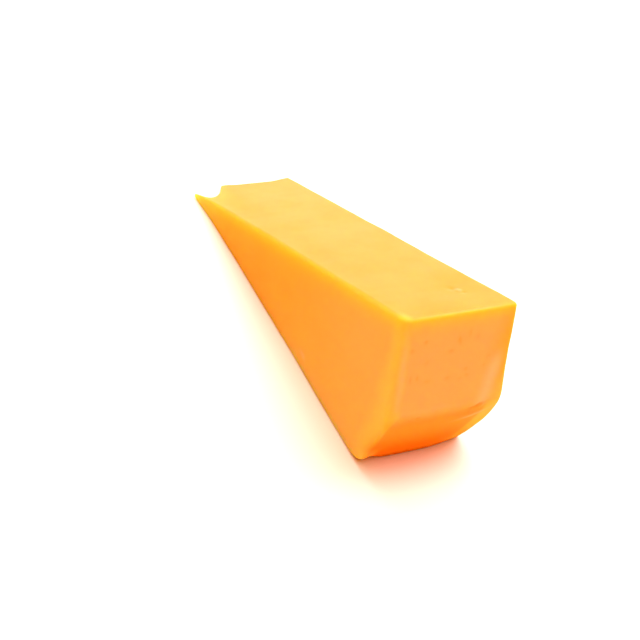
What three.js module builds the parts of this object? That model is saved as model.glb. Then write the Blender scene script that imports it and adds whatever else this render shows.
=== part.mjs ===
// A wedge of cheddar, one solid piece, lying flat on its long underside.
//
// Millimetres, +Z up. X runs along the underside from the thin tip to the rind end, Y across the
// thickness from the near side face (-Y) to the far one (+Y). The origin is on the underside, below the
// middle of the bounding box. While the shape is worked out, X starts at the tip instead, and the
// finished mesh is moved once at the end.
//
// The wedge is described by one function, depthOutside, which is negative inside the cheese, zero on
// its skin and positive in the air. Every face adds its own distance, and neighbouring faces are joined
// by a soft maximum, so that each edge gets the softness that it has on the real piece. The mesh is a
// sphere's mesh: its poles become the middles of the two side faces, its circles of latitude become the
// side outline, and every vertex is then walked onto the skin.

import * as THREE from 'three';
import { mergeVertices } from 'three/addons/utils/BufferGeometryUtils.js';

const { clamp, degToRad, smoothstep } = THREE.MathUtils;

// Side outline: the top cut slopes up from the tip, the rind end leans out down to a bend, and then
// turns in under the piece to the foot
const TOP_LENGTH = 120;
const TOP_SLOPE = degToRad(23.6);
const RIND_TOP = new THREE.Vector2(TOP_LENGTH * Math.cos(TOP_SLOPE), TOP_LENGTH * Math.sin(TOP_SLOPE));
const RIND_BEND = new THREE.Vector2(116.7, 22.4);
const RIND_FOOT = new THREE.Vector2(109.2, 0);
const LOWER_RIND_SWELL = 1.1;

// Thickness: each side face, measured from the middle plane
const NEAR_FACE = 15.5;
const NEAR_HOLLOW = 0.45;
const FAR_FACE_AT_TIP = 16.3;
const FAR_FACE_AT_RIND = 16.1;
const FAR_SWELL = 1.2;
const FAR_SWELL_HEIGHT = 16.5;
const FAR_SWELL_SPREAD = 12;
const FAR_BULGE = 0.5;
const FAR_BULGE_X = 18;
const FAR_BULGE_SPREAD = 24;

// Tip: a blunt edge about a millimetre high, drawn out at both ends, with one piece broken out beside the
// near corner, which leaves a thin horn along the near side face
const TIP_EDGE = 0.1;
const TIP_FAR_DRAWN = 1.9;
const TIP_FAR_START_Y = 9;
const TIP_FAR_WIDTH = 8;
const TIP_NEAR_DRAWN = 0.7;
const TIP_NEAR_START_Y = -1;
const TIP_NEAR_WIDTH = 5;
const TIP_HEIGHT_NEAR = 0.5;
const TIP_HEIGHT_FAR = 1.3;
const TIP_HEIGHT_START_Y = -15;
const TIP_HEIGHT_WIDTH = 11;
const HORN_FLARE = 0.5;
const HORN_LENGTH = 14;
const BREAK_DEPTH = 8.4;
const BREAK_CENTRE = -13;
const BREAK_REACH_FAR = 6.7;
const BREAK_REACH_NEAR = 3.2;
const BREAK_CURVE_FAR = 1.7;
const BREAK_CURVE_NEAR = 2.6;

// Shoulder: the rind end's far edge is cut back. One facet lies above the bend and grows from almost
// nothing at the top, and a second one lies below it and swells as the lower rind does
const SHOULDER_Y_TOP = 15.4;
const SHOULDER_Y_BEND = 10.4;
const SHOULDER_OUTER_Z = 24;
const SHOULDER_SETBACK = 1.1;
const LOWER_SHOULDER_Y_BEND = 12.3;
const LOWER_SHOULDER_Y_FOOT = 9.8;
const LOWER_SHOULDER_SETBACK = 1.2;
const LOWER_SHOULDER_SWELL = 0.95;

// Foot: the near lower corner of the rind end spreads out a little further than the rest
const FOOT_SPREAD = 0.6;
const FOOT_START_Y = -12.2;
const FOOT_WIDTH = 2.2;
const FOOT_HEIGHT = 9;
const RIND_CROWN = 0.3;

// Edge softness: the width over which two neighbouring faces blend into each other. The edge between the
// near side face and the rind is soft above and crisp low down, with a little more softness at the foot,
// and the foot's corner is worn round
const SOFT_CUT_EDGE = 1.2;
const SOFT_UNDERSIDE = 0.7;
const SOFT_TIP = 1.2;
const SOFT_BEND = 1.3;
const SOFT_SHOULDER = 1.0;
const SOFT_NEAR_RIND = 3.6;
const SOFT_NEAR_LOWER_RIND = 0.9;
const SOFT_NEAR_RIND_START_Z = 17;
const SOFT_NEAR_RIND_HEIGHT = 9;
const SOFT_NEAR_FOOT = 0.6;
const SOFT_NEAR_FOOT_HEIGHT = 5;
const SOFT_FOOT = 4.4;
const SOFT_FOOT_START_X = 98;
const SOFT_FOOT_LENGTH = 9;
const SOFT_FOOT_START_Y = -7;
const SOFT_FOOT_WIDTH = 6;
const SOFT_SHARE_AT_TIP = 0.3;
const SOFT_TIP_LENGTH = 25;

// Mesh: steps along each stretch of the side outline, and rings across the side faces and the rim
const STEPS_TOP = 30;
const STEPS_RIND = 12;
const STEPS_LOWER_RIND = 12;
const STEPS_UNDERSIDE = 30;
const STEPS_TIP = 2;
const RINGS_SIDE_FACE = 6;
const RINGS_RIM = 20;
const CROWDED_OUTLINE = 0.7;
const CROWDED_SIDE_FACE = 1.8;
const CROWDED_RIM = 0.7;
const HUB = new THREE.Vector2(75, 17);
const TIP_SHIFT_LENGTH = 40;
const WALK_STEPS = 30;
const WALK_SHARE = 0.35;
const WALK_PROBE = 1e-3;
const TIP_PROBE = 0.2;

const CHEDDAR_COLOUR = 0xffa845;
const CHEDDAR_ROUGHNESS = 0.45;

// How far a value has gone from start to start + length, eased in and out, from 0 to 1
function eased(value, start, length) {
  return smoothstep(value, start, start + length);
}

// The larger of two distances, with the corner between them rounded over the given width
function softMax(a, b, width) {
  const overlap = Math.max(width - Math.abs(a - b), 0);
  return Math.max(a, b) + overlap ** 2 / (4 * width);
}

// A plane through two points of the side outline and square to it, facing away from the cheese
function rindPlane(upper, lower) {
  const along = new THREE.Vector2().subVectors(lower, upper).normalize();
  const normal = new THREE.Vector3(-along.y, 0, along.x);
  return new THREE.Plane().setFromNormalAndCoplanarPoint(normal, new THREE.Vector3(upper.x, 0, upper.y));
}

// X on the upper rind face at a height
function upperRindX(z) {
  const share = (RIND_TOP.y - z) / (RIND_TOP.y - RIND_BEND.y);
  return RIND_TOP.x + (RIND_BEND.x - RIND_TOP.x) * share;
}

// Y of the far side face, which swells a little low down towards the rind end and behind the tip
function farFaceY(x, z) {
  const along = x / RIND_TOP.x;
  const flat = FAR_FACE_AT_TIP + (FAR_FACE_AT_RIND - FAR_FACE_AT_TIP) * along;
  const swell = Math.exp(-(((z - FAR_SWELL_HEIGHT) / FAR_SWELL_SPREAD) ** 2));
  const bulge = Math.exp(-(((x - FAR_BULGE_X) / FAR_BULGE_SPREAD) ** 2));
  return flat + FAR_SWELL * swell * eased(along, 0, 1) + FAR_BULGE * bulge;
}

// The point of the far side face at a place of the side outline
function farPoint(x, z) {
  return new THREE.Vector3(x, farFaceY(x, z), z);
}

// A shoulder facet goes through two points of the rind end and one of the far side face
function shoulderPlane(upper, lower, outer) {
  const plane = new THREE.Plane().setFromCoplanarPoints(upper, lower, outer);
  const inside = new THREE.Vector3(HUB.x, 0, HUB.y);
  return plane.distanceToPoint(inside) > 0 ? plane.negate() : plane;
}

const UPPER_RIND = rindPlane(RIND_TOP, RIND_BEND);
const LOWER_RIND = rindPlane(RIND_BEND, RIND_FOOT);
const SHOULDER_TOP = new THREE.Vector3(RIND_TOP.x, SHOULDER_Y_TOP, RIND_TOP.y);
const SHOULDER_BEND = new THREE.Vector3(RIND_BEND.x, SHOULDER_Y_BEND, RIND_BEND.y);
const SHOULDER_OUTER = farPoint(upperRindX(SHOULDER_OUTER_Z) - SHOULDER_SETBACK, SHOULDER_OUTER_Z);
const UPPER_SHOULDER = shoulderPlane(SHOULDER_TOP, SHOULDER_BEND, SHOULDER_OUTER);
const LOWER_MIDDLE = new THREE.Vector2().addVectors(RIND_BEND, RIND_FOOT).multiplyScalar(0.5);
const LOWER_SHOULDER_BEND = new THREE.Vector3(RIND_BEND.x, LOWER_SHOULDER_Y_BEND, RIND_BEND.y);
const LOWER_SHOULDER_FOOT = new THREE.Vector3(RIND_FOOT.x, LOWER_SHOULDER_Y_FOOT, RIND_FOOT.y);
const LOWER_OUTER = farPoint(LOWER_MIDDLE.x - LOWER_SHOULDER_SETBACK, LOWER_MIDDLE.y);
const LOWER_SHOULDER = shoulderPlane(LOWER_SHOULDER_BEND, LOWER_SHOULDER_FOOT, LOWER_OUTER);

// X of the tip's edge: nearly straight across, bending out at both ends, with the piece broken out
function tipX(y) {
  const farEnd = TIP_FAR_DRAWN * eased(y, TIP_FAR_START_Y, TIP_FAR_WIDTH);
  const nearEnd = TIP_NEAR_DRAWN * eased(-y, -TIP_NEAR_START_Y, TIP_NEAR_WIDTH);
  const fromCentre = y - BREAK_CENTRE;
  const reach = fromCentre > 0 ? BREAK_REACH_FAR : BREAK_REACH_NEAR;
  const curve = fromCentre > 0 ? BREAK_CURVE_FAR : BREAK_CURVE_NEAR;
  const share = clamp(Math.abs(fromCentre) / reach, 0, 1);
  return TIP_EDGE - farEnd - nearEnd + BREAK_DEPTH * (1 - share ** curve);
}

// Distance beyond the tip's edge, measured square to the edge rather than along X
function tipDepth(x, y) {
  const slope = (tipX(y + TIP_PROBE) - tipX(y - TIP_PROBE)) / (2 * TIP_PROBE);
  return (tipX(y) - x) / Math.hypot(1, slope);
}

// Height of the top cut, which is a little thicker at the tip than a true plane would be
function topZ(x, y) {
  const across = eased(y, TIP_HEIGHT_START_Y, TIP_HEIGHT_WIDTH);
  const tipHeight = TIP_HEIGHT_NEAR + (TIP_HEIGHT_FAR - TIP_HEIGHT_NEAR) * across;
  return x * Math.tan(TOP_SLOPE) + tipHeight * Math.max(1 - x / RIND_TOP.x, 0);
}

// Y of the near side face, slightly hollow in mid length and flaring out at the horn
function nearFaceY(x) {
  const along = clamp(x / RIND_TOP.x, 0, 1);
  const hollow = NEAR_HOLLOW * 4 * along * (1 - along);
  const flare = HORN_FLARE * eased(HORN_LENGTH - x, 0, HORN_LENGTH);
  return hollow - NEAR_FACE - flare;
}

// A parabola over the height, 0 at the foot and at the bend and 1 half way between them
function lowSwell(z) {
  const fromMiddle = z / (RIND_BEND.y / 2) - 1;
  return clamp(1 - fromMiddle ** 2, 0, 1);
}

// Distance outside the lower rind, which swells between the bend and the foot
function lowerRindDepth(point) {
  const swell = LOWER_RIND_SWELL * lowSwell(point.z);
  const crown = RIND_CROWN * (1 - (point.y / NEAR_FACE) ** 2);
  const spreadY = eased(-point.y, -FOOT_START_Y, FOOT_WIDTH);
  const spreadZ = eased(FOOT_HEIGHT - point.z, 0, FOOT_HEIGHT);
  return LOWER_RIND.distanceToPoint(point) - swell - crown - FOOT_SPREAD * spreadY * spreadZ;
}

// The whole wedge: negative inside, zero on the skin, positive outside
function depthOutside(point) {
  const { x, y, z } = point;
  const soft = SOFT_SHARE_AT_TIP + (1 - SOFT_SHARE_AT_TIP) * eased(x, 0, SOFT_TIP_LENGTH);
  const upperShoulder = UPPER_SHOULDER.distanceToPoint(point);
  const lowerShoulder = LOWER_SHOULDER.distanceToPoint(point) - LOWER_SHOULDER_SWELL * lowSwell(z);
  const shoulder = softMax(upperShoulder, lowerShoulder, SOFT_SHOULDER);
  const end = softMax(UPPER_RIND.distanceToPoint(point), lowerRindDepth(point), SOFT_BEND);
  const rind = softMax(end, shoulder, SOFT_SHOULDER);
  const upper = eased(z, SOFT_NEAR_RIND_START_Z, SOFT_NEAR_RIND_HEIGHT);
  const byRind = eased(x, SOFT_FOOT_START_X, SOFT_FOOT_LENGTH);
  const atFoot = byRind * (1 - eased(z, 0, SOFT_NEAR_FOOT_HEIGHT));
  const aboveFoot = SOFT_NEAR_LOWER_RIND + (SOFT_NEAR_RIND - SOFT_NEAR_LOWER_RIND) * upper;
  const nearRind = aboveFoot + SOFT_NEAR_FOOT * atFoot;
  const foot = byRind * eased(-y, -SOFT_FOOT_START_Y, SOFT_FOOT_WIDTH);
  const underside = SOFT_UNDERSIDE + (SOFT_FOOT - SOFT_UNDERSIDE) * foot;
  let depth = softMax(rind, -z, underside * soft);
  depth = softMax(depth, nearFaceY(x) - y, nearRind * soft);
  depth = softMax(depth, y - farFaceY(x, z), SOFT_CUT_EDGE * soft);
  depth = softMax(depth, (z - topZ(x, y)) * Math.cos(TOP_SLOPE), SOFT_CUT_EDGE * soft);
  return softMax(depth, tipDepth(x, y), SOFT_TIP * soft);
}

// Slope of the depth at a point, from a small step each way along each axis
function depthSlope(point) {
  const slope = new THREE.Vector3();
  for (const axis of ['x', 'y', 'z']) {
    const ahead = point.clone();
    const behind = point.clone();
    ahead[axis] += WALK_PROBE;
    behind[axis] -= WALK_PROBE;
    slope[axis] = (depthOutside(ahead) - depthOutside(behind)) / (2 * WALK_PROBE);
  }
  return slope;
}

// Walk a point towards the skin, in steps short enough that neighbours never cross, and then onto it
function walkToSkin(start) {
  const point = start.clone();
  for (let step = 0; step <= WALK_STEPS; step += 1) {
    const slope = depthSlope(point);
    const share = step < WALK_STEPS ? WALK_SHARE : 1;
    point.addScaledVector(slope, (-share * depthOutside(point)) / slope.lengthSq());
  }
  return point;
}

// Shares from 0 to 1 that crowd together at both ends, where the edges are
function crowded(share, amount) {
  return share - (amount * Math.sin(2 * Math.PI * share)) / (2 * Math.PI);
}

// The side outline as points, from the tip over the top, down the rind end and back underneath
function sideOutline() {
  const tipTop = new THREE.Vector2(0, TIP_HEIGHT_FAR);
  const tipBottom = new THREE.Vector2(0, 0);
  const stretches = [
    [tipTop, RIND_TOP, STEPS_TOP],
    [RIND_TOP, RIND_BEND, STEPS_RIND],
    [RIND_BEND, RIND_FOOT, STEPS_LOWER_RIND],
    [RIND_FOOT, tipBottom, STEPS_UNDERSIDE],
    [tipBottom, tipTop, STEPS_TIP],
  ];
  const points = [];
  for (const [from, to, steps] of stretches) {
    for (let step = 0; step < steps; step += 1) {
      points.push(new THREE.Vector2().lerpVectors(from, to, crowded(step / steps, CROWDED_OUTLINE)));
    }
  }
  return points;
}

// The rings from the far hub to the near hub: how large each is, and its place across the thickness,
// from 1 on the far side face to -1 on the near one
function ringRows() {
  const sideFace = [];
  for (let ring = 0; ring <= RINGS_SIDE_FACE; ring += 1) {
    sideFace.push(1 - (1 - ring / (RINGS_SIDE_FACE + 1)) ** CROWDED_SIDE_FACE);
  }
  const rows = sideFace.map((size) => ({ size, across: 1 }));
  for (let ring = 0; ring <= RINGS_RIM; ring += 1) {
    rows.push({ size: 1, across: 1 - 2 * crowded(ring / RINGS_RIM, CROWDED_RIM) });
  }
  return rows.concat(sideFace.reverse().map((size) => ({ size, across: -1 })));
}

// Where a vertex starts its walk: on its ring of the outline, pulled in where the tip is broken
function startPoint(outlinePoint, row) {
  const flat = new THREE.Vector2().lerpVectors(HUB, outlinePoint, row.size);
  const face = row.across > 0 ? farFaceY(flat.x, flat.y) : -nearFaceY(flat.x);
  const y = row.across * face;
  const pull = Math.max(1 - flat.x / TIP_SHIFT_LENGTH, 0) ** 2;
  const x = flat.x + tipX(y) * pull;
  const height = flat.y / topZ(flat.x, FAR_FACE_AT_TIP);
  return new THREE.Vector3(x, y, height * topZ(x, y));
}

// The closed skin of the wedge
function wedgeGeometry() {
  const outline = sideOutline();
  const rows = ringRows();
  const geometry = new THREE.SphereGeometry(1, outline.length, rows.length - 1);
  geometry.deleteAttribute('normal');
  geometry.deleteAttribute('uv');
  const position = geometry.getAttribute('position');
  for (let index = 0; index < position.count; index += 1) {
    const station = (index % (outline.length + 1)) % outline.length;
    const row = rows[Math.floor(index / (outline.length + 1))];
    const skin = walkToSkin(startPoint(outline[station], row));
    position.setXYZ(index, skin.x, skin.y, skin.z);
  }
  return mergeVertices(geometry);
}

// Move the mesh so that the origin is on the underside, below the middle of its bounding box
function standOnOrigin(geometry) {
  geometry.computeBoundingBox();
  const middle = geometry.boundingBox.getCenter(new THREE.Vector3());
  geometry.translate(-middle.x, -middle.y, -geometry.boundingBox.min.z);
  geometry.computeVertexNormals();
  return geometry;
}

function cheddarBlock() {
  const material = new THREE.MeshStandardMaterial({
    name: 'cheddar',
    color: CHEDDAR_COLOUR,
    roughness: CHEDDAR_ROUGHNESS,
    metalness: 0,
  });
  const mesh = new THREE.Mesh(standOnOrigin(wedgeGeometry()), material);
  mesh.name = 'cheddar_block';
  return mesh;
}

const group = new THREE.Group();
group.add(cheddarBlock());

export default group;
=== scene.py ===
# %% [markdown]
# # A wedge of orange cheddar
#
# The real object is one piece of orange cheddar, cut with a knife from a thick round or block. It lies on
# its long flat underside. The top cut slopes up from a thin broken tip to a blunt rind end. The script
# builds its finished surface in the place of the plain solid that comes with the frame, and adds a cheese
# material, a white table, soft light and a camera.

import bpy
import numpy as np
from mathutils import Matrix, Vector


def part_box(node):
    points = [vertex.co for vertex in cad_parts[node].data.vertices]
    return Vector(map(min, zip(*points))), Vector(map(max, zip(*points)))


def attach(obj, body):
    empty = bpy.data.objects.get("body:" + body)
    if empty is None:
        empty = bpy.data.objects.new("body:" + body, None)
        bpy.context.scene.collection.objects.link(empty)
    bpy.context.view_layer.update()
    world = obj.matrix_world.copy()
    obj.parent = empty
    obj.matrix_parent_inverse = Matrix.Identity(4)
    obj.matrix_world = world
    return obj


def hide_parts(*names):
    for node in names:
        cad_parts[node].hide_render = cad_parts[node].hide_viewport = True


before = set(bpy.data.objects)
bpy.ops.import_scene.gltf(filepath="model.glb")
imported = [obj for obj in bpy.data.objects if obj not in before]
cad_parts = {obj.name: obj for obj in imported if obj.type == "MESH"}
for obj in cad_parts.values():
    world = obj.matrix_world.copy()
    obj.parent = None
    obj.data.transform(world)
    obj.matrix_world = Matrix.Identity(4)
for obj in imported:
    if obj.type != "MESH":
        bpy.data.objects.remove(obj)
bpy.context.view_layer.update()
scene = bpy.context.scene
block_low, block_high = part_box("cheddar_block")
print("nodes", list(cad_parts), "box in mm", [round(v * 1000, 2) for v in (*block_low, *block_high)])

# %% [markdown]
# ## The form of the wedge
#
# A cut block has flat faces that meet in edges of different softness. A box with bevels could make it, but
# every edge here has its own width, and the tip and the rind end need their own curves. So the wedge is
# one formula instead: the distance outside each face, joined by a soft maximum. The formula is negative in
# the cheese, zero on its skin and positive in the air. All measures are millimetres from the tip: X along
# the underside, Y across the thickness, Z up.

# %% Side outline
TOP_LENGTH = 120.0
TOP_SLOPE = np.radians(23.6)
RIND_TOP = np.array([TOP_LENGTH * np.cos(TOP_SLOPE), TOP_LENGTH * np.sin(TOP_SLOPE)])
RIND_BEND = np.array([116.7, 22.4])
RIND_FOOT = np.array([109.2, 0.0])
HUB = np.array([75.0, 17.0])
print("top cut", TOP_LENGTH, "mm long, rind end", round(float(RIND_TOP[1]), 1), "mm high")

# %% Easing and soft joints
def eased(value, start, length):
    """0 up to start and 1 from start + length on. Between them 3 t squared less 2 t cubed, where t is the
    share of the length gone."""
    share = np.clip((value - start) / length, 0.0, 1.0)
    return share * share * (3.0 - 2.0 * share)


def fading(value, start, length):
    """1 up to start and 0 from start + length on: one less the eased rise."""
    return 1.0 - eased(value, start, length)


def soft_max(a, b, width):
    """The larger of a and b. Where they differ by less than width, the missing part squared over 4 widths
    is added, which rounds the corner."""
    overlap = np.maximum(width - np.abs(a - b), 0.0)
    return np.maximum(a, b) + overlap**2 / (4.0 * width)


print("a joint 1 mm wide takes", float(soft_max(0.0, 0.0, 1.0)), "mm off the edge")

# %% [markdown]
# ## Side faces and rind end
#
# Each side face is one knife cut, nearly flat. The rind end is what was the outside of the block: it leans
# out a little down to a bend, runs back under to the foot, and its far corner is cut away in two narrow
# facets. A solid could be cut with planes for this, but planes in the formula keep their soft joints, and
# each can swell a little, as pressed cheese does.

# %% Side faces
NEAR_FACE, NEAR_HOLLOW = 15.5, 0.45
HORN_FLARE, HORN_LENGTH = 0.5, 14.0
FAR_FACE_AT_TIP, FAR_FACE_AT_RIND = 16.3, 16.1
FAR_SWELL, FAR_SWELL_Z, FAR_SWELL_SPREAD = 1.2, 16.5, 12.0
FAR_BULGE, FAR_BULGE_X, FAR_BULGE_SPREAD = 0.5, 18.0, 24.0


def near_face_y(x):
    """A shallow parabola between tip and rind, with the horn flaring out at the tip."""
    along = np.clip(x / RIND_TOP[0], 0.0, 1.0)
    hollow = NEAR_HOLLOW * 4.0 * along * (1.0 - along)
    return hollow - NEAR_FACE - HORN_FLARE * fading(x, 0.0, HORN_LENGTH)


def far_face_y(x, z):
    """Flat from the tip to the rind, plus a bell curve over the height that grows towards the rind, and one
    over the length behind the tip."""
    along = x / RIND_TOP[0]
    flat = FAR_FACE_AT_TIP + (FAR_FACE_AT_RIND - FAR_FACE_AT_TIP) * along
    swell = np.exp(-(((z - FAR_SWELL_Z) / FAR_SWELL_SPREAD) ** 2))
    bulge = np.exp(-(((x - FAR_BULGE_X) / FAR_BULGE_SPREAD) ** 2))
    return flat + FAR_SWELL * swell * eased(along, 0.0, 1.0) + FAR_BULGE * bulge


print("thickness at the hub", round(float(far_face_y(*HUB) - near_face_y(HUB[0])), 1), "mm")

# %% Planes of the rind end
def rind_plane(upper, lower):
    """Normal and offset of the plane through two outline points (x, z) and square to the side outline."""
    along = (lower - upper) / np.linalg.norm(lower - upper)
    normal = np.array([-along[1], 0.0, along[0]])
    return normal, normal @ np.array([upper[0], 0.0, upper[1]])


def beyond(plane, x, y, z):
    """How far a point is outside a plane: its place along the normal, less the plane's offset."""
    (a, b, c), offset = plane
    return a * x + b * y + c * z - offset


def end_x(z):
    """X of the upper rind face at a height: a straight line from the rind's top to its bend."""
    return RIND_TOP[0] + (RIND_BEND[0] - RIND_TOP[0]) * (RIND_TOP[1] - z) / (RIND_TOP[1] - RIND_BEND[1])


UPPER_RIND = rind_plane(RIND_TOP, RIND_BEND)
LOWER_RIND = rind_plane(RIND_BEND, RIND_FOOT)
print("upper rind faces", UPPER_RIND[0].round(3), "and lower rind", LOWER_RIND[0].round(3))

# %% Facets of the far corner
SHOULDER_Y_TOP, SHOULDER_Y_BEND = 15.4, 10.4
LOWER_SHOULDER_Y_BEND, LOWER_SHOULDER_Y_FOOT = 12.3, 9.8
SHOULDER_OUTER_Z = 24.0
SHOULDER_SETBACK, LOWER_SHOULDER_SETBACK = 1.1, 1.2


def far_point(x, z):
    """The point of the far side face at a place of the side outline."""
    return np.array([x, far_face_y(x, z), z])


def at_y(outline_point, y):
    """A point of the side outline and a Y as x, y, z."""
    return np.array([outline_point[0], y, outline_point[1]])


def shoulder_plane(upper, lower, outer):
    """The plane through two points of the rind end and one on the far side face, turned outwards."""
    normal = np.cross(lower - upper, outer - upper)
    normal /= np.linalg.norm(normal)
    normal *= -np.sign(normal @ at_y(HUB, 0.0) - normal @ upper)
    return normal, normal @ upper


LOWER_MIDDLE = (RIND_BEND + RIND_FOOT) / 2.0
UPPER_SHOULDER = shoulder_plane(
    at_y(RIND_TOP, SHOULDER_Y_TOP),
    at_y(RIND_BEND, SHOULDER_Y_BEND),
    far_point(end_x(SHOULDER_OUTER_Z) - SHOULDER_SETBACK, SHOULDER_OUTER_Z))
LOWER_SHOULDER = shoulder_plane(
    at_y(RIND_BEND, LOWER_SHOULDER_Y_BEND),
    at_y(RIND_FOOT, LOWER_SHOULDER_Y_FOOT),
    far_point(LOWER_MIDDLE[0] - LOWER_SHOULDER_SETBACK, LOWER_MIDDLE[1]))
print("facets face", UPPER_SHOULDER[0].round(3), "and", LOWER_SHOULDER[0].round(3))

# %% Swell of the lower rind
LOWER_RIND_SWELL, LOWER_SHOULDER_SWELL = 1.1, 0.95
RIND_CROWN = 0.3
FOOT_SPREAD = 0.6
FOOT_START_Y, FOOT_WIDTH, FOOT_HEIGHT = -12.2, 2.2, 9.0


def low_swell(z):
    """A parabola over the height: 0 at the foot and at the bend, and 1 half way between them."""
    from_middle = z / (RIND_BEND[1] / 2.0) - 1.0
    return np.clip(1.0 - from_middle**2, 0.0, 1.0)


def lower_rind_depth(x, y, z):
    """Distance outside the lower rind plane, less its swell, its crown and the spread of the near foot."""
    crown = RIND_CROWN * (1.0 - (y / NEAR_FACE) ** 2)
    spread = eased(-y, -FOOT_START_Y, FOOT_WIDTH) * fading(z, 0.0, FOOT_HEIGHT)
    return beyond(LOWER_RIND, x, y, z) - LOWER_RIND_SWELL * low_swell(z) - crown - FOOT_SPREAD * spread


print("swell half way up the lower rind", float(LOWER_RIND_SWELL * low_swell(LOWER_MIDDLE[1])), "mm")

# %% [markdown]
# ## Tip and top cut
#
# The tip is about a millimetre thick, and a small piece has broken out of it, which leaves a thin horn at
# the near side. A boolean cut would leave it sharp all round. Here the tip's edge is a curve across the
# thickness, so the break gets the same soft border as the rest.

# %% Tip's edge and top cut
TIP_EDGE = 0.1
TIP_FAR_DRAWN, TIP_FAR_START_Y, TIP_FAR_WIDTH = 1.9, 9.0, 8.0
TIP_NEAR_DRAWN, TIP_NEAR_START_Y, TIP_NEAR_WIDTH = 0.7, -1.0, 5.0
TIP_HEIGHT_NEAR, TIP_HEIGHT_FAR = 0.5, 1.3
TIP_HEIGHT_START_Y, TIP_HEIGHT_WIDTH = -15.0, 11.0
BREAK_DEPTH, BREAK_CENTRE = 8.4, -13.0
BREAK_REACH_FAR, BREAK_REACH_NEAR = 6.7, 3.2
BREAK_CURVE_FAR, BREAK_CURVE_NEAR = 1.7, 2.6


def tip_x(y):
    """X of the tip's edge: nearly straight, drawn out at both ends, with a bite of one power curve on each
    side of the break's centre."""
    far_end = TIP_FAR_DRAWN * eased(y, TIP_FAR_START_Y, TIP_FAR_WIDTH)
    near_end = TIP_NEAR_DRAWN * eased(-y, -TIP_NEAR_START_Y, TIP_NEAR_WIDTH)
    from_centre = y - BREAK_CENTRE
    reach = np.where(from_centre > 0, BREAK_REACH_FAR, BREAK_REACH_NEAR)
    curve = np.where(from_centre > 0, BREAK_CURVE_FAR, BREAK_CURVE_NEAR)
    share = np.clip(np.abs(from_centre) / reach, 0.0, 1.0)
    return TIP_EDGE - far_end - near_end + BREAK_DEPTH * (1.0 - share**curve)


def top_z(x, y):
    """The sloping plane, plus the blunt tip's height that dies away towards the rind."""
    across = eased(y, TIP_HEIGHT_START_Y, TIP_HEIGHT_WIDTH)
    tip_height = TIP_HEIGHT_NEAR + (TIP_HEIGHT_FAR - TIP_HEIGHT_NEAR) * across
    return x * np.tan(TOP_SLOPE) + tip_height * np.maximum(1.0 - x / RIND_TOP[0], 0.0)


print("the break reaches", round(float(tip_x(BREAK_CENTRE)), 1), "mm into the tip")

# %% Distance outside each face
TIP_PROBE = 0.2


def face_depths(points):
    """The distance outside each face, by name, for an array of points."""
    x, y, z = points[..., 0], points[..., 1], points[..., 2]
    tip_slope = (tip_x(y + TIP_PROBE) - tip_x(y - TIP_PROBE)) / (2.0 * TIP_PROBE)
    return {
        "end": beyond(UPPER_RIND, x, y, z),
        "lower": lower_rind_depth(x, y, z),
        "shoulder": beyond(UPPER_SHOULDER, x, y, z),
        "lower_shoulder": beyond(LOWER_SHOULDER, x, y, z) - LOWER_SHOULDER_SWELL * low_swell(z),
        "near": near_face_y(x) - y,
        "far": y - far_face_y(x, z),
        "top": (z - top_z(x, y)) * np.cos(TOP_SLOPE),
        "tip": (tip_x(y) - x) / np.hypot(1.0, tip_slope),
        "under": -z,
    }


HUB_POINT = at_y(HUB, 0.0)
for face, depth in face_depths(HUB_POINT).items():
    print("the hub is", round(float(-depth), 1), "mm inside the face", face)

# %% Joining the faces
SOFT_CUT_EDGE, SOFT_UNDERSIDE, SOFT_TIP = 1.2, 0.7, 1.2
SOFT_BEND, SOFT_SHOULDER = 1.3, 1.0
SOFT_NEAR_RIND, SOFT_NEAR_LOWER_RIND = 3.6, 0.9
SOFT_NEAR_RIND_START_Z, SOFT_NEAR_RIND_HEIGHT = 17.0, 9.0
SOFT_NEAR_FOOT, SOFT_NEAR_FOOT_HEIGHT = 0.6, 5.0
SOFT_FOOT = 4.4
SOFT_FOOT_START_X, SOFT_FOOT_LENGTH = 98.0, 9.0
SOFT_FOOT_START_Y, SOFT_FOOT_WIDTH = -7.0, 6.0
SOFT_SHARE_AT_TIP, SOFT_TIP_LENGTH = 0.3, 25.0


def depth_outside(points):
    """The soft maximum of all the faces' distances, each pair joined with its own width. The near foot is
    worn round, and the thin tip has narrower joints."""
    d = face_depths(points)
    x, y, z = points[..., 0], points[..., 1], points[..., 2]
    soft = SOFT_SHARE_AT_TIP + (1.0 - SOFT_SHARE_AT_TIP) * eased(x, 0.0, SOFT_TIP_LENGTH)
    upper = eased(z, SOFT_NEAR_RIND_START_Z, SOFT_NEAR_RIND_HEIGHT)
    near_rind = SOFT_NEAR_LOWER_RIND + (SOFT_NEAR_RIND - SOFT_NEAR_LOWER_RIND) * upper
    by_rind = eased(x, SOFT_FOOT_START_X, SOFT_FOOT_LENGTH)
    near_rind = near_rind + SOFT_NEAR_FOOT * by_rind * fading(z, 0.0, SOFT_NEAR_FOOT_HEIGHT)
    foot = by_rind * eased(-y, -SOFT_FOOT_START_Y, SOFT_FOOT_WIDTH)
    underside = SOFT_UNDERSIDE + (SOFT_FOOT - SOFT_UNDERSIDE) * foot
    shoulder = soft_max(d["shoulder"], d["lower_shoulder"], SOFT_SHOULDER)
    rind = soft_max(soft_max(d["end"], d["lower"], SOFT_BEND), shoulder, SOFT_SHOULDER)
    depth = soft_max(rind, d["under"], underside * soft)
    depth = soft_max(depth, d["near"], near_rind * soft)
    depth = soft_max(depth, d["far"], SOFT_CUT_EDGE * soft)
    depth = soft_max(depth, d["top"], SOFT_CUT_EDGE * soft)
    return soft_max(depth, d["tip"], SOFT_TIP * soft)


print("depth at the hub", round(float(depth_outside(HUB_POINT)), 2), "mm")

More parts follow.
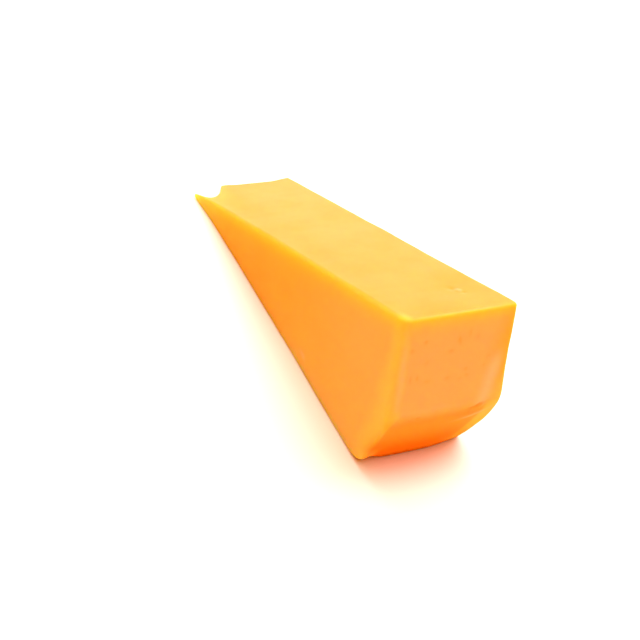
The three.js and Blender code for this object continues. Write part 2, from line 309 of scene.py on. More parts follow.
# %% [markdown]
# ## From the formula to points
#
# The skin is a grid of two parameters, like a globe's. One parameter runs round the side outline, and the
# other from the middle of the far side face, over the rim, to the middle of the near side face. Marching
# cubes would also turn the formula into a mesh, but its triangles would be uneven and would ignore the
# edges. Here the lines of the grid crowd together at the edges, where the form turns.

# %% Stations round the side outline
STEPS_TOP, STEPS_END, STEPS_LOWER, STEPS_UNDER, STEPS_TIP = 168, 92, 66, 72, 8
CROWDED_OUTLINE = 0.62


def crowded(share, amount):
    """Shares from 0 to 1, less a sine wave over them, so that they crowd together at both ends."""
    return share - amount * np.sin(2.0 * np.pi * share) / (2.0 * np.pi)


def side_outline():
    """Points (x, z) round the side outline: over the top, down the rind end, back underneath and up the
    tip."""
    tip_top, tip_bottom = np.array([0.0, TIP_HEIGHT_FAR]), np.array([0.0, 0.0])
    stretches = [
        (tip_top, RIND_TOP, STEPS_TOP),
        (RIND_TOP, RIND_BEND, STEPS_END),
        (RIND_BEND, RIND_FOOT, STEPS_LOWER),
        (RIND_FOOT, tip_bottom, STEPS_UNDER),
        (tip_bottom, tip_top, STEPS_TIP),
    ]
    parts = []
    for start, end, steps in stretches:
        share = crowded(np.arange(steps) / steps, CROWDED_OUTLINE)[:, None]
        parts.append(start + (end - start) * share)
    return np.concatenate(parts)


print(len(side_outline()), "stations round the outline")

# %% Rings from the far hub to the near hub
RINGS_FAR, RINGS_RIM, RINGS_NEAR = 34, 118, 74
CROWDED_RIM, CROWDED_SIDE = 0.55, 1.5
TIP_SHIFT_LENGTH = 40.0


def ring_rows():
    """Size and side of each ring. Size grows from 0 at a hub to 1 on the rim, and side goes from 1 on the
    far face to -1 on the near one."""
    far = 1.0 - (1.0 - np.arange(RINGS_FAR) / RINGS_FAR) ** CROWDED_SIDE
    near = 1.0 - (1.0 - np.arange(RINGS_NEAR) / RINGS_NEAR) ** CROWDED_SIDE
    rim = 1.0 - 2.0 * crowded(np.arange(RINGS_RIM + 1) / RINGS_RIM, CROWDED_RIM)
    size = np.concatenate([far, np.ones(RINGS_RIM + 1), near[::-1]])
    side = np.concatenate([np.ones(RINGS_FAR), rim, -np.ones(RINGS_NEAR)])
    return size, side


def start_grid():
    """Ring by ring, the outline shrunk towards the hub, laid on the side faces and pulled in at the break."""
    outline = side_outline()
    size, side = ring_rows()
    flat = HUB + (outline[None] - HUB) * size[:, None, None]
    x, z = flat[..., 0], flat[..., 1]
    side = np.repeat(side[:, None], len(outline), axis=1)
    y = side * np.where(side > 0, far_face_y(x, z), -near_face_y(x))
    moved_x = x + tip_x(y) * np.maximum(1.0 - x / TIP_SHIFT_LENGTH, 0.0) ** 2
    moved_z = z / top_z(x, FAR_FACE_AT_TIP) * top_z(moved_x, y)
    return np.stack([moved_x, y, moved_z], axis=-1)


print(len(ring_rows()[0]), "rings")

# %% Walking the points to the skin
WALK_STEPS, WALK_SHARE, WALK_PROBE = 30, 0.35, 1e-3


def slope_at(points):
    """The slope of the depth formula: the difference over a tiny step each way along each axis."""
    slope = np.empty_like(points)
    for axis in range(3):
        step = np.zeros(3)
        step[axis] = WALK_PROBE
        change = depth_outside(points + step) - depth_outside(points - step)
        slope[..., axis] = change / (2.0 * WALK_PROBE)
    return slope


def walk_to_skin(points):
    """Moves every point down the slope by a share of its depth, many times, and then the whole way."""
    for step in range(WALK_STEPS + 1):
        slope = slope_at(points)
        share = WALK_SHARE if step < WALK_STEPS else 1.0
        reach = share * depth_outside(points) / np.sum(slope**2, axis=-1)
        points = points - reach[..., None] * slope
    return points


grid = walk_to_skin(start_grid())
rows, stations = grid.shape[:2]
skin = np.concatenate([grid[:1, 0], grid[1:-1].reshape(-1, 3), grid[-1:, 0]])
print(len(skin), "points, the worst", float(np.abs(depth_outside(skin)).max()), "mm off the skin")

# %% [markdown]
# ## Fine relief
#
# A knife leaves faces that are flat but not dead flat, the curd inside leaves tiny openings, and handling
# leaves a nick, a loose flake, and a crease with a light lip where the rind end bends. A displacement
# modifier could add these, but as formulas on the same points they fall exactly where they belong. Each
# one is a height in millimetres, positive outwards, and all of them are added along the outward normal.

# %% Which face a point is on
FACE_FADE = 0.6
depths = face_depths(skin)
along, across, height = skin[:, 0], skin[:, 1], skin[:, 2]
on_top = np.exp(depths["top"] / FACE_FADE)
on_end = np.exp(np.minimum(depths["end"], 0.0) / FACE_FADE)
on_near = np.exp(depths["near"] / FACE_FADE)
print("points on the top, end and near faces", [int((m > 0.5).sum()) for m in (on_top, on_end, on_near)])

# %% Marks as bell curves
def blob(points, centre, radii, turn=0.0):
    """A bell curve round a centre (x, y, z). The radii are its widths, and turn leans it in the Y-Z plane."""
    away = points - np.array(centre)
    y = away[..., 1] * np.cos(turn) + away[..., 2] * np.sin(turn)
    z = away[..., 2] * np.cos(turn) - away[..., 1] * np.sin(turn)
    return np.exp(-((away[..., 0] / radii[0]) ** 2) - (y / radii[1]) ** 2 - (z / radii[2]) ** 2)


print("a mark is", float(blob(HUB_POINT, HUB_POINT, (1.0, 1.0, 1.0))), "at its centre")

# %% Curd openings in the rind end
# Place (y, z), half width, half height, lean in degrees and depth of each opening, in millimetres
OPENINGS = [
    (-8.8, 41.6, 0.45, 0.5, 0, 0.30),
    (0.6, 40.7, 0.35, 1.0, 14, 0.34),
    (-1.4, 38.2, 0.75, 0.35, 0, 0.26),
    (3.6, 32.8, 0.4, 0.4, 0, 0.26),
    (4.1, 31.1, 0.55, 0.3, -12, 0.24),
    (2.3, 30.4, 0.4, 0.45, 0, 0.22),
    (-1.2, 31.2, 0.65, 0.4, 0, 0.20),
    (-11.6, 32.3, 0.35, 0.9, 0, 0.20),
    (-9.8, 32.4, 0.35, 0.7, 10, 0.22),
    (-12.2, 39.8, 0.6, 0.5, 0, 0.18),
    (3.2, 42.4, 0.3, 0.9, 0, 0.20),
    (5.6, 41.0, 0.35, 0.9, 0, 0.14),
    (-7.7, 36.2, 0.6, 0.6, 0, 0.14),
    (-6.8, 31.2, 0.9, 0.35, 0, 0.14),
    (9.8, 35.2, 0.6, 0.35, 20, 0.18),
    (8.8, 33.0, 0.4, 0.4, 0, 0.18),
    (-7.2, 21.3, 0.6, 0.35, 0, 0.30),
    (-9.1, 20.7, 0.8, 0.3, 0, 0.20),
]
OPENING_REACH_X = 2.0
OPENING_FULL_COLOUR = 0.3
OPENING_DEPTH_SHARE = 0.6
# Each opening is a small dent, and the openings zone paints shade into it
openings = np.zeros(len(skin))
opening_depth = np.zeros(len(skin))
for y, z, half_width, half_height, lean, depth in OPENINGS:
    mark = blob(skin, (end_x(z), y, z), (OPENING_REACH_X, half_width, half_height), np.radians(lean))
    openings = np.maximum(openings, mark * depth / OPENING_FULL_COLOUR)
    opening_depth += OPENING_DEPTH_SHARE * mark * depth
print(len(OPENINGS), "openings, deepest", round(float(opening_depth.max()), 2), "mm")

# %% Crumble where the rind end bends
LENGTH_RANGE = (0.7, 1.4)
CREASE_AT = (116.4, 9.0, 21.4)
CRUMBLE_SIZE, CRUMBLE_HEIGHT = (4.0, 2.8, 1.5), 0.12


def plane_waves(points, wavelength, count, seed):
    """The sum of sine waves of about one wavelength that run in random directions, over the square root of
    their number, so that it mostly stays between -1 and 1."""
    chance = np.random.default_rng(seed)
    directions = chance.normal(size=(count, 3))
    directions /= np.linalg.norm(directions, axis=1, keepdims=True)
    lengths = wavelength * chance.uniform(*LENGTH_RANGE, count)
    phases = chance.uniform(0.0, 2.0 * np.pi, count)
    total = np.zeros(points.shape[:-1])
    for direction, length, phase in zip(directions, lengths, phases):
        total += np.sin(points @ direction * (2.0 * np.pi / length) + phase)
    return total / np.sqrt(count)


crumble = plane_waves(skin, wavelength=1.9, count=9, seed=11) * blob(skin, CREASE_AT, CRUMBLE_SIZE)
print("crumble up to", round(float(CRUMBLE_HEIGHT * crumble.max()), 2), "mm high")

# %% Flake, nick, crease and lip
FLAKE_AT, FLAKE_SIZE, FLAKE_HEIGHT = (98.0, 7.3, 42.9), (0.8, 0.6, 1.6), 0.32
DENTS = [((99.3, 7.6, 43.5), (0.7, 0.7, 1.6)), ((96.4, 6.3, 42.2), (1.0, 0.9, 1.6))]
DENT_DEPTH = 0.16
NICK_AT, NICK_SIZE, NICK_DEPTH = (74.9, -15.1, 4.1), (0.9, 2.0, 1.2), 0.35
CREASE_LEAN = np.radians(10.0)
CREASE_SIZE, CREASE_DEPTH = (4.0, 3.0, 0.5), 0.22
LIP_AT, LIP_SIZE, LIP_HEIGHT = (116.0, 9.6, 18.2), (4.0, 4.4, 0.6), 0.15
flake = blob(skin, FLAKE_AT, FLAKE_SIZE)
dents = sum(blob(skin, at, size) for at, size in DENTS)
nick = blob(skin, NICK_AT, NICK_SIZE)
crease = blob(skin, CREASE_AT, CREASE_SIZE, CREASE_LEAN)
lip = blob(skin, LIP_AT, LIP_SIZE, CREASE_LEAN)
handling = FLAKE_HEIGHT * flake - DENT_DEPTH * dents - NICK_DEPTH * nick
handling += CRUMBLE_HEIGHT * crumble - CREASE_DEPTH * crease + LIP_HEIGHT * lip
print("handling from", round(float(handling.min()), 2), "to", round(float(handling.max()), 2), "mm")

# %% Waves of the knife
BROAD_HEIGHT = 0.06
FINE_HEIGHT, FINE_HEIGHT_ON_TOP = 0.030, 0.012
broad_waves = plane_waves(skin, wavelength=26.0, count=6, seed=3)
fine_waves = plane_waves(skin, wavelength=7.0, count=8, seed=5)
fine_height = FINE_HEIGHT + (FINE_HEIGHT_ON_TOP - FINE_HEIGHT) * on_top
waves = BROAD_HEIGHT * broad_waves + fine_height * fine_waves
print("waves from", round(float(waves.min()), 2), "to", round(float(waves.max()), 2), "mm")

# %% All relief on the skin
LYING_FADE = 0.5
RELIEF_START_X, RELIEF_START_LENGTH = 2.0, 16.0
lying = np.exp(depths["under"] / LYING_FADE)
relief = waves - opening_depth + handling
relief *= (1.0 - lying) * eased(along, RELIEF_START_X, RELIEF_START_LENGTH)
normals = slope_at(skin)
normals /= np.linalg.norm(normals, axis=-1, keepdims=True)
dressed = skin + normals * relief[:, None]
print("relief from", round(float(relief.min()), 2), "to", round(float(relief.max()), 2), "mm")

# %% [markdown]
# ## Colour zones
#
# Light soaks into cheese, so thin places and cut edges glow yellow; that glow is painted into the colour
# here.
# The rind end is paler, partly its own tone and partly painted light and sheen. The lower rind, the crease
# and the curd openings get painted shade, two lines on the rind end are painted highlights, and painted light
# lifts the near face at its foot, while the flake, the nick and the lip are paler. Painting an image would
# fix these to one picture size, so they are worked out as numbers from 0 to 1 on the same points and stored
# with the mesh for the material to read. A pair such as (24.0, 8.0) is where a change starts and how long it
# takes, in millimetres. In the two fades of the glow it is in widths of the band and of the corner.

# %% Where the faces meet
def edge_between(first, second, width):
    """Falls from 1 where two faces meet to 0 away from there: e to the power of both depths over the
    width."""
    return np.exp(np.minimum(first + second, 0.0) / width)


STRIP_WIDTH = 2.5
FACET_STEP, FACET_TOP_Z, FACET_FADE = 0.3, (21.0, 3.0), 0.8
side_faces = 1.0 - on_top
on_shoulder = np.exp(np.minimum(depths["shoulder"], 0.0) / FACE_FADE)
rind_depth = np.maximum(depths["end"], depths["lower"])
shoulder_depth = np.maximum(depths["shoulder"], depths["lower_shoulder"])
strip = edge_between(depths["far"], shoulder_depth, STRIP_WIDTH)
facet = eased(depths["lower_shoulder"] - depths["lower"], 0.0, FACET_STEP) * fading(height, *FACET_TOP_Z)
facet *= np.exp(np.minimum(depths["lower_shoulder"], 0.0) / FACET_FADE)
print("points on the far strip and the lower facet", [int((m > 0.5).sum()) for m in (strip, facet)])

# %% Painted glow along the edges
# Face that the top cut meets, strength and width in millimetres
TOP_EDGES = [(depths["near"], 1.6, 1.9), (rind_depth, 1.6, 1.8), (depths["far"], 1.3, 1.5)]
STRIP_GLOW_HIGH, STRIP_GLOW_LOW, STRIP_GLOW_Z = 0.3, 0.5, (24.0, 8.0)
FACET_GLOW, FACET_GLOW_Z = 0.5, (2.0, 12.0)
# Painted glow: light coming through the cut edges shows yellow along the top's edges, the far strip and the
# lower facet
top_edges = [strength * side_faces * edge_between(depths["top"], face, width)
             for face, strength, width in TOP_EDGES]
strip_glow = STRIP_GLOW_HIGH + (STRIP_GLOW_LOW - STRIP_GLOW_HIGH) * fading(height, *STRIP_GLOW_Z)
facet_glow = FACET_GLOW * eased(height, *FACET_GLOW_Z)
painted_edge_glow = np.maximum.reduce([*top_edges, strip_glow * strip, facet_glow * facet])
print("yellow edges on", int((painted_edge_glow > 0.5).sum()), "points")

# %% Painted glow of the near corner, the foot and the tip
BAND_LOW, BAND_HIGH, BAND_Z, BAND_FADE = 9.5, 6.0, (24.0, 14.0), (0.08, 1.0)
CORNER_LOW, CORNER_HIGH, CORNER_Z, CORNER_FADE = 0.28, 1.0, (18.0, 5.0), (1.1, 2.2)
FOOT_GLOW, FOOT_GLOW_HEIGHT, FOOT_GLOW_X = 0.75, 8.0, (40.0, 40.0)
TIP_GLOW, TIP_GLOW_LENGTH = 1.8, 8.0
HORN_TOP_LOSS, TIP_TOP_LOSS, TIP_LOSS_Y = 0.6, 1.0, (-12.0, 8.0)
# Painted glow: a band along the near rind corner where light comes through, and painted light low on the near
# face towards the rind
band_width = BAND_LOW + (BAND_HIGH - BAND_LOW) * eased(height, *BAND_Z)
band = fading(-rind_depth / band_width, *BAND_FADE)
painted_foot_glow = FOOT_GLOW * np.exp(-height / FOOT_GLOW_HEIGHT) * eased(along, *FOOT_GLOW_X)
corner = CORNER_LOW + (CORNER_HIGH - CORNER_LOW) * eased(height, *CORNER_Z)
glow = fading(-depths["near"] / corner, *CORNER_FADE) * np.maximum(band, painted_foot_glow)
# Painted glow of light through the thin tip, weaker on the top cut
top_loss = HORN_TOP_LOSS + (TIP_TOP_LOSS - HORN_TOP_LOSS) * eased(across, *TIP_LOSS_Y)
thin = TIP_GLOW * np.exp(-np.maximum(along, 0.0) / TIP_GLOW_LENGTH) * (1.0 - top_loss * on_top)
print("glow on", int((glow > 0.5).sum()), "points, thin tip on", int((thin > 0.5).sum()))

# %% Painted shade below the bend
LOWER_FADE, FACET_LOSS = 1.2, 0.4
DEEP_AT_BEND, DEEP_BEND_Z, DEEP_FOOT_Z = 0.38, (19.0, 3.5), (6.5, 12.0)
CREASE_SHADE = 0.3
FOOT_CORNER_Y, FOOT_CORNER_Z = (-13.8, 3.0), (2.0, 8.0)
# Painted shade: the lower rind turns deep orange towards the foot and in the crease, less on the lower facet
# and at the near foot corner
low_rind_depth = np.maximum(depths["lower"], depths["lower_shoulder"])
on_lower = np.exp(np.minimum(low_rind_depth, 0.0) / LOWER_FADE) * (1.0 - FACET_LOSS * facet)
below_bend = DEEP_AT_BEND * fading(height, *DEEP_BEND_Z) + (1.0 - DEEP_AT_BEND) * fading(height, *DEEP_FOOT_Z)
foot_corner = fading(across, *FOOT_CORNER_Y) * fading(height, *FOOT_CORNER_Z)
painted_shade = np.maximum(below_bend * on_lower, CREASE_SHADE * crease) * (1.0 - foot_corner)
print("deep orange on", int((painted_shade > 0.5).sum()), "points")

# %% Rind tone, partly painted light
NEAR_RIND, NEAR_RIND_X = 0.5, (55.0, 50.0)
FACET_RIND_Z = (8.0, 10.0)
SHOULDER_RIND, SHOULDER_RIND_Z = 0.9, (24.0, 10.0)
STRIP_CLEAR_Z = (24.0, 12.0)
# The rind colour is partly the rind's own paler tone and partly painted light and painted sheen that lift the
# end face
rind = np.maximum.reduce([
    on_end,
    NEAR_RIND * eased(along, *NEAR_RIND_X) * on_near,
    facet * eased(height, *FACET_RIND_Z),
    SHOULDER_RIND * on_shoulder * fading(height, *SHOULDER_RIND_Z),
])
rind *= 1.0 - strip * eased(height, *STRIP_CLEAR_Z)
print("rind colour on", int((rind > 0.5).sum()), "points")

# %% Pale marks and painted highlights
NEAR_LINE_AT, NEAR_LINE_SIZE, NEAR_LINE_Z = (114.0, -13.85, 33.0), (9.0, 0.9, 12.0), (20.0, 5.0)
SHOULDER_LINE_WIDTH, SHOULDER_LINE_FADE = 0.35, 0.8
SHOULDER_LINE_FROM_Z, SHOULDER_LINE_TO_Z = (20.0, 4.0), (31.0, 7.0)
NEAR_FOOT_HEIGHT, NEAR_FOOT_X = 4.5, (30.0, 60.0)
# The flake, the nick and the lip are paler. The line by the near rind edge and the line where the far facets
# meet the end are painted highlights, and painted light lifts the near face at its foot
painted_near_highlight = blob(skin, NEAR_LINE_AT, NEAR_LINE_SIZE) * eased(height, *NEAR_LINE_Z)
painted_shoulder_highlight = np.exp(-(((shoulder_depth - rind_depth) / SHOULDER_LINE_WIDTH) ** 2))
painted_shoulder_highlight *= np.exp(rind_depth / SHOULDER_LINE_FADE)
painted_shoulder_highlight *= eased(height, *SHOULDER_LINE_FROM_Z) * fading(height, *SHOULDER_LINE_TO_Z)
painted_foot_light = np.exp(depths["near"] - height / NEAR_FOOT_HEIGHT) * eased(along, *NEAR_FOOT_X)
# Strength of each mark
PALE_MARKS_AND_HIGHLIGHTS = [(1.0, flake), (1.0, nick), (0.75, painted_near_highlight), (1.3, painted_shoulder_highlight), (0.6, lip),
              (0.42, painted_foot_light)]
pale_and_painted_highlights = np.maximum.reduce([strength * mark for strength, mark in PALE_MARKS_AND_HIGHLIGHTS])
zones = {
    "painted_edge_glow": painted_edge_glow, "glow": glow, "thin": thin, "painted_shade": painted_shade, "rind": rind, "top_film_and_painted_sheen": on_top,
    "pale_and_painted_highlights": pale_and_painted_highlights, "openings": openings,
}
for name, zone in zones.items():
    print(name, "covers", round(float((zone > 0.5).mean() * 100), 1), "% of the points")

# %% [markdown]
# ## Mesh of the wedge
#
# The points are joined like a globe: triangles round each hub and squares between the rings, so that the
# skin is closed and every face looks outwards. A Subdivision Surface modifier isn't needed, because the
# formula already gives as many points as the form asks for. The millimetres are then turned into the
# frame's metres, and the mesh stands for the plain solid.

# %% Faces between the points
def globe_faces(ring_count, station_count):
    """Vertex numbers of the faces: triangles round each pole, and squares between neighbouring rings. Ring r,
    station s is vertex 1 + r * stations + s, and the pole vertices come first and last."""
    here = np.arange(station_count)
    after = (here + 1) % station_count
    last = 1 + (ring_count - 1) * station_count
    first_pole = np.stack([np.zeros_like(here), 1 + here, 1 + after], axis=1)
    last_pole = np.stack([np.full_like(here, last + station_count), last + after, last + here], axis=1)
    starts = 1 + np.arange(ring_count - 1)[:, None] * station_count
    squares = np.stack([starts + here, starts + station_count + here,
                        starts + station_count + after, starts + after], axis=-1).reshape(-1, 4)
    return first_pole, squares, last_pole


first_pole, squares, last_pole = globe_faces(rows - 2, stations)
triangles = np.concatenate([first_pole, last_pole, squares[:, :3], squares[:, [0, 2, 3]]])
print(len(triangles), "triangles")

# %% Place in the frame
def outward_volume(points, corners):
    """Volume inside triangles: a sixth of each corner's product with the cross product of the other two."""
    a, b, c = (points[corners[:, i]] for i in range(3))
    return float(np.sum(a * np.cross(b, c)) / 6.0)


design_low, design_high = skin.min(axis=0), skin.max(axis=0)
MM = (block_high.x - block_low.x) / (design_high[0] - design_low[0])
DESIGN_ORIGIN = np.append((design_low[:2] + design_high[:2]) / 2.0, design_low[2])


def in_frame(points):
    """Design millimetres from the tip turned into the frame's metres, with the origin under the middle."""
    return (np.asarray(points) - DESIGN_ORIGIN) * MM


placed = np.clip(in_frame(dressed), np.array(block_low), np.array(block_high))
print("origin", DESIGN_ORIGIN.round(3), "volume", round(outward_volume(placed, triangles) * 1e6, 2), "cm3")

# %% The wedge in Blender
mesh = bpy.data.meshes.new("cheddar_wedge")
mesh.from_pydata(placed.tolist(), [], [*first_pole.tolist(), *squares.tolist(), *last_pole.tolist()])
mesh.update()
mesh.shade_smooth()
for name, zone in zones.items():
    layer = mesh.attributes.new(name, "FLOAT", "POINT")
    layer.data.foreach_set("value", np.clip(zone, 0.0, 1.0).astype(np.float32))
wedge = bpy.data.objects.new("cheddar_wedge", mesh)
scene.collection.objects.link(wedge)
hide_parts("cheddar_block")
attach(wedge, "root")
print(len(mesh.vertices), "vertices and", len(mesh.polygons), "faces")

# %% [markdown]
# ## The cheese material
#
# Cheddar is a waxy, slightly clear solid. Light enters it, spreads a few millimetres and comes out orange,
# so the shader is a Principled one with subsurface scattering. Red light travels furthest in it, green
# less and blue hardly at all. A plain orange paint would look like plastic. The colour is mixed from the
# zones and a broad soft mottle: the zones add the rind's own tone and pale marks, and painted glow, shade,
# highlights and, on the top cut, a painted sheen. A fine grain varies the roughness. The top cut carries a
# thin film of fat, which is a coat over the cheese.

# %% Shader maths
class Signal:
    """One socket of the node tree that other sockets can take. Arithmetic on it adds Math nodes."""

    def __init__(self, tree, socket):
        self.tree = tree
        self.socket = socket

    def node(self, kind, settings=None, sockets=None, output=0):
        """Adds any other node: its settings first, then the values or links of its sockets."""
        made = self.tree.nodes.new(kind)
        for name, value in (settings or {}).items():
            setattr(made, name, value)
        for name, value in (sockets or {}).items():
            if isinstance(value, Signal):
                self.tree.links.new(value.socket, made.inputs[name])
            else:
                made.inputs[name].default_value = value
        return Signal(self.tree, made.outputs[output])

    def math(self, operation, first, second):
        """A Math node on two values, each a signal or a number."""
        return self.node("ShaderNodeMath", {"operation": operation}, {0: first, 1: second})

    def __add__(self, other):
        return self.math("ADD", self, other)

    def __radd__(self, other):
        return self.math("ADD", other, self)

    def __sub__(self, other):
        return self.math("SUBTRACT", self, other)

    def __rsub__(self, other):
        return self.math("SUBTRACT", other, self)

    def __mul__(self, other):
        return self.math("MULTIPLY", self, other)

    def __rmul__(self, other):
        return self.math("MULTIPLY", other, self)

    def zone(self, name):
        """A zone that is stored on the mesh."""
        return self.node("ShaderNodeAttribute", {"attribute_name": name}, output="Fac")

    def noise(self, size_mm, detail):
        """Noise on Object coordinates whose features are about size_mm wide."""
        place = self.node("ShaderNodeTexCoord", output="Object")
        return self.node("ShaderNodeTexNoise", {},
                         {"Vector": place, "Scale": 1.0 / (size_mm * MM), "Detail": detail})

    def between(self, low, high):
        """0 up to low and 1 from high on, with a soft S between them."""
        return self.node("ShaderNodeMapRange", {"interpolation_type": "SMOOTHSTEP"},
                         {"Value": self, "From Min": low, "From Max": high}, "Result")

    def tint(self, base, colour):
        """The base colour turned towards another one by this signal."""
        return self.node("ShaderNodeMix", {"data_type": "RGBA"},
                         {"Factor": self, 6: base, 7: colour}, 2)

    def feed(self, node, name):
        """Links this signal to a socket of a node."""
        self.tree.links.new(self.socket, node.inputs[name])


cheddar = bpy.data.materials.new("cheddar")
cheddar.use_nodes = True
shader = cheddar.node_tree.nodes["Principled BSDF"]
cheese = Signal(cheddar.node_tree, None)
print("empty material has", len(cheddar.node_tree.nodes), "nodes")

# %% Colour of the cheese
FLESH, FLESH_WARM = (1.0, 0.305, 0.024, 1.0), (1.0, 0.288, 0.020, 1.0)
# The top cut's copy of the flesh: bluer for a painted sheen, and a little darker to make up for the stronger
# light on the top
TOP_FLESH_PAINTED_SHEEN, TOP_FLESH_WARM_PAINTED_SHEEN = (1.0, 0.281, 0.043, 1.0), (1.0, 0.266, 0.030, 1.0)
# Partly the rind's own paler tone, partly painted light and painted sheen on the end
RIND_FLESH_AND_PAINTED_LIGHT = (1.0, 0.372, 0.094, 1.0)
# Painted glow of light through the near rind corner and the foot
PAINTED_CORNER_GLOW = (1.0, 0.455, 0.053, 1.0)
# Painted shade below the bend and in the crease
PAINTED_SHADE_ORANGE = (1.0, 0.128, 0.001, 1.0)
# Painted glow along the cut edges
PAINTED_EDGE_GLOW_COLOUR = (1.0, 0.50, 0.004, 1.0)
# Painted glow of the thin tip
PAINTED_TIP_GLOW = (1.0, 0.60, 0.075, 1.0)
# Pale marks and painted highlights
PALE_AND_HIGHLIGHT_COLOUR = (1.0, 0.44, 0.17, 1.0)
# Painted shade in the curd openings
PAINTED_OPENING_SHADE = (0.84, 0.29, 0.05, 1.0)
MOTTLE_SIZE, MOTTLE_DETAIL, MOTTLE_RANGE = 9.0, 3.0, (0.38, 0.66)
MOTTLE_SHARE, TOP_MOTTLE_SHARE = 0.5, 0.9
# Zone, strength and colour, each laid over the ones before it
ZONE_TINTS = [
    ("rind", 1.0, RIND_FLESH_AND_PAINTED_LIGHT),
    ("glow", 0.9, PAINTED_CORNER_GLOW),
    ("painted_shade", 1.0, PAINTED_SHADE_ORANGE),
    ("painted_edge_glow", 0.85, PAINTED_EDGE_GLOW_COLOUR),
    ("thin", 0.8, PAINTED_TIP_GLOW),
    ("pale_and_painted_highlights", 0.85, PALE_AND_HIGHLIGHT_COLOUR),
    ("openings", 0.7, PAINTED_OPENING_SHADE),
]
mottle = cheese.noise(MOTTLE_SIZE, MOTTLE_DETAIL).between(*MOTTLE_RANGE)
cut_flesh = (mottle * MOTTLE_SHARE).tint(FLESH, FLESH_WARM)
top_flesh_painted_sheen = (mottle * TOP_MOTTLE_SHARE).tint(TOP_FLESH_PAINTED_SHEEN, TOP_FLESH_WARM_PAINTED_SHEEN)
# On the top cut the flesh is swapped for that copy with painted sheen
colour = cheese.zone("top_film_and_painted_sheen").tint(cut_flesh, top_flesh_painted_sheen)
for zone, strength, tint in ZONE_TINTS:
    colour = (cheese.zone(zone) * strength).tint(colour, tint)
colour.feed(shader, "Base Color")
print(len(ZONE_TINTS), "zones tint the flesh")

# %% Surface of the cheese
MEAN_ROUGHNESS, ROUGHNESS_CHANGE = 0.61, 0.12
GRAIN_SIZE, GRAIN_DETAIL = 1.1, 4.0
FILM_WEIGHT = 0.5
FINE_PORES, FINE_PORE_DETAIL = 0.7, 3.0
WIDE_PORES, WIDE_PORE_DETAIL = 2.6, 2.0
PORE_SHARE, PORE_STRENGTH = 0.6, 0.35
PORE_DEPTH = 0.00012  # in metres
grain = cheese.noise(GRAIN_SIZE, GRAIN_DETAIL)
roughness = MEAN_ROUGHNESS + (grain - 0.5) * ROUGHNESS_CHANGE
roughness.feed(shader, "Roughness")
film = cheese.zone("top_film_and_painted_sheen") * FILM_WEIGHT
film.feed(shader, "Coat Weight")
pores = (cheese.noise(FINE_PORES, FINE_PORE_DETAIL) + cheese.noise(WIDE_PORES, WIDE_PORE_DETAIL)) * PORE_SHARE
bump = cheese.node("ShaderNodeBump", {}, {"Height": pores, "Strength": PORE_STRENGTH, "Distance": PORE_DEPTH})
bump.feed(shader, "Normal")
shader.inputs["Subsurface Weight"].default_value = 1.0
shader.inputs["Subsurface Radius"].default_value = (1.0, 0.3, 0.06)
shader.inputs["Subsurface Scale"].default_value = 7.0 * MM
shader.inputs["Specular IOR Level"].default_value = 0.01
shader.inputs["Coat Roughness"].default_value = 0.3
shader.inputs["Coat IOR"].default_value = 1.45
mesh.materials.append(cheddar)
print(len(cheddar.node_tree.nodes), "nodes in the cheddar material")

# %% [markdown]
# ## Table
#
# The wedge lies on a plain white table. A large curved backdrop would do as well, but a flat sheet that
# reaches far past the picture looks the same and stays simple. It lies a hair below the underside, so that
# the two surfaces don't share one plane. It isn't part of the object.

# %% White table
TABLE_HALF = 4.0
TABLE_GAP = 0.03 * MM
table_mesh = bpy.data.meshes.new("white_table")
table_mesh.from_pydata([(-TABLE_HALF, -TABLE_HALF, -TABLE_GAP), (TABLE_HALF, -TABLE_HALF, -TABLE_GAP),
                        (TABLE_HALF, TABLE_HALF, -TABLE_GAP), (-TABLE_HALF, TABLE_HALF, -TABLE_GAP)],
                       [], [(0, 1, 2, 3)])
table = bpy.data.objects.new("white_table", table_mesh)
scene.collection.objects.link(table)
white = bpy.data.materials.new("white_table")
white.use_nodes = True
white_shader = white.node_tree.nodes["Principled BSDF"]
white_shader.inputs["Base Color"].default_value = (0.93, 0.89, 0.87, 1.0)
white_shader.inputs["Roughness"].default_value = 0.9
white_shader.inputs["Specular IOR Level"].default_value = 0.1
table_mesh.materials.append(white)
print("table", 2.0 * TABLE_HALF, "m square")

# %% [markdown]
# ## Light
#
# The real picture has bright soft light from above and warm shade. Two very wide, far lights give that: one
# straight overhead and a little warm, and one up behind the wedge, so that the top cut is bright, the
# faces towards the camera are in open shade, and the soft shadow falls towards the camera. Area lights
# could do the same, but their light would fall off over the table. The room glows orange on the objects
# only, and the camera sees plain white behind the table.

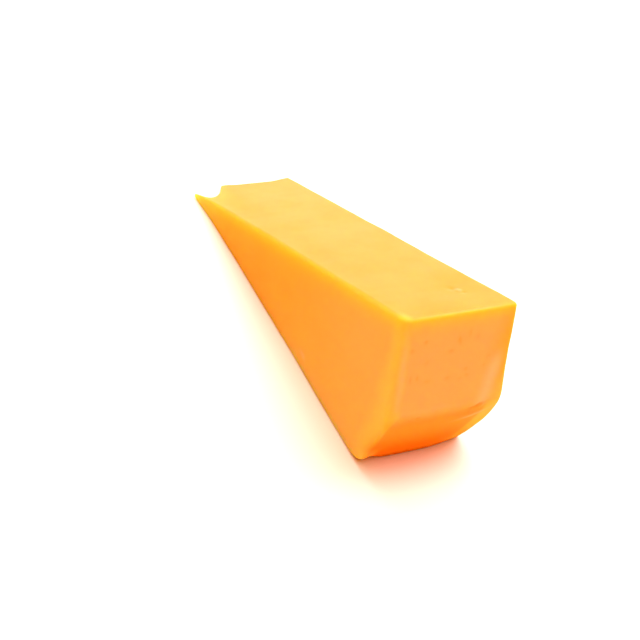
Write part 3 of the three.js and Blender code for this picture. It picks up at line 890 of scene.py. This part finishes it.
# %% Lights and room
ROOM_GLOW = (0.57, 0.28, 0.06, 1.0)
WHITE = (1.0, 1.0, 1.0, 1.0)
LIGHT_SPREAD = 1.2
room = bpy.data.worlds.new("white_room")
room.use_nodes = True
background = room.node_tree.nodes["Background"]
seen_by_camera = Signal(room.node_tree, None).node("ShaderNodeLightPath", output="Is Camera Ray")
seen_by_camera.tint(ROOM_GLOW, WHITE).feed(background, "Color")
scene.world = room


def soft_light(name, towards, strength, colour):
    """A very wide, far light in a direction. At strength 1 a white sheet square to it looks just white."""
    lamp = bpy.data.lights.new(name, "SUN")
    lamp.energy = strength * np.pi
    lamp.color = colour
    lamp.angle = LIGHT_SPREAD
    light = bpy.data.objects.new(name, lamp)
    light.rotation_euler = Vector(towards).to_track_quat("Z", "Y").to_euler()
    scene.collection.objects.link(light)


soft_light("overhead", towards=(0.0, 0.0, 1.0), strength=0.8, colour=(1.0, 0.90, 0.80))
soft_light("from_behind", towards=(-0.35, 0.35, 0.87), strength=1.0, colour=(1.0, 0.99, 1.05))
print("two lights", round(float(np.degrees(LIGHT_SPREAD))), "degrees wide")

# %% [markdown]
# ## Camera
#
# The camera looks down on the rind end from the near side, with a long lens, as in the real picture. Its
# place could be found by eye, but it was worked out instead: a perspective camera was fitted to the corners
# of the wedge, which gave its distance, its turn and the lens.

# %% Camera
CAMERA_AT = (295.57, -174.36, 245.38)
CAMERA_FORWARD = Vector((-0.6181, 0.4530, -0.6424))
CAMERA_UP = Vector((-0.6651, 0.1343, 0.7346))
CAMERA_RIGHT = Vector((0.4190, 0.8813, 0.2184))
FOCAL_PIXELS, PICTURE_PIXELS = 1400.0, 640.0
lens = bpy.data.cameras.new("camera")
lens.sensor_width = 36.0
lens.lens = lens.sensor_width * FOCAL_PIXELS / PICTURE_PIXELS
lens.clip_start, lens.clip_end = 0.01, 20.0
camera = bpy.data.objects.new("camera", lens)
turn = Matrix((CAMERA_RIGHT, CAMERA_UP, -CAMERA_FORWARD)).transposed()
camera.matrix_world = Matrix.Translation(in_frame(CAMERA_AT)) @ turn.to_4x4()
scene.collection.objects.link(camera)
scene.camera = camera
scene.view_settings.view_transform = "Standard"
print("lens", round(lens.lens, 2), "mm")
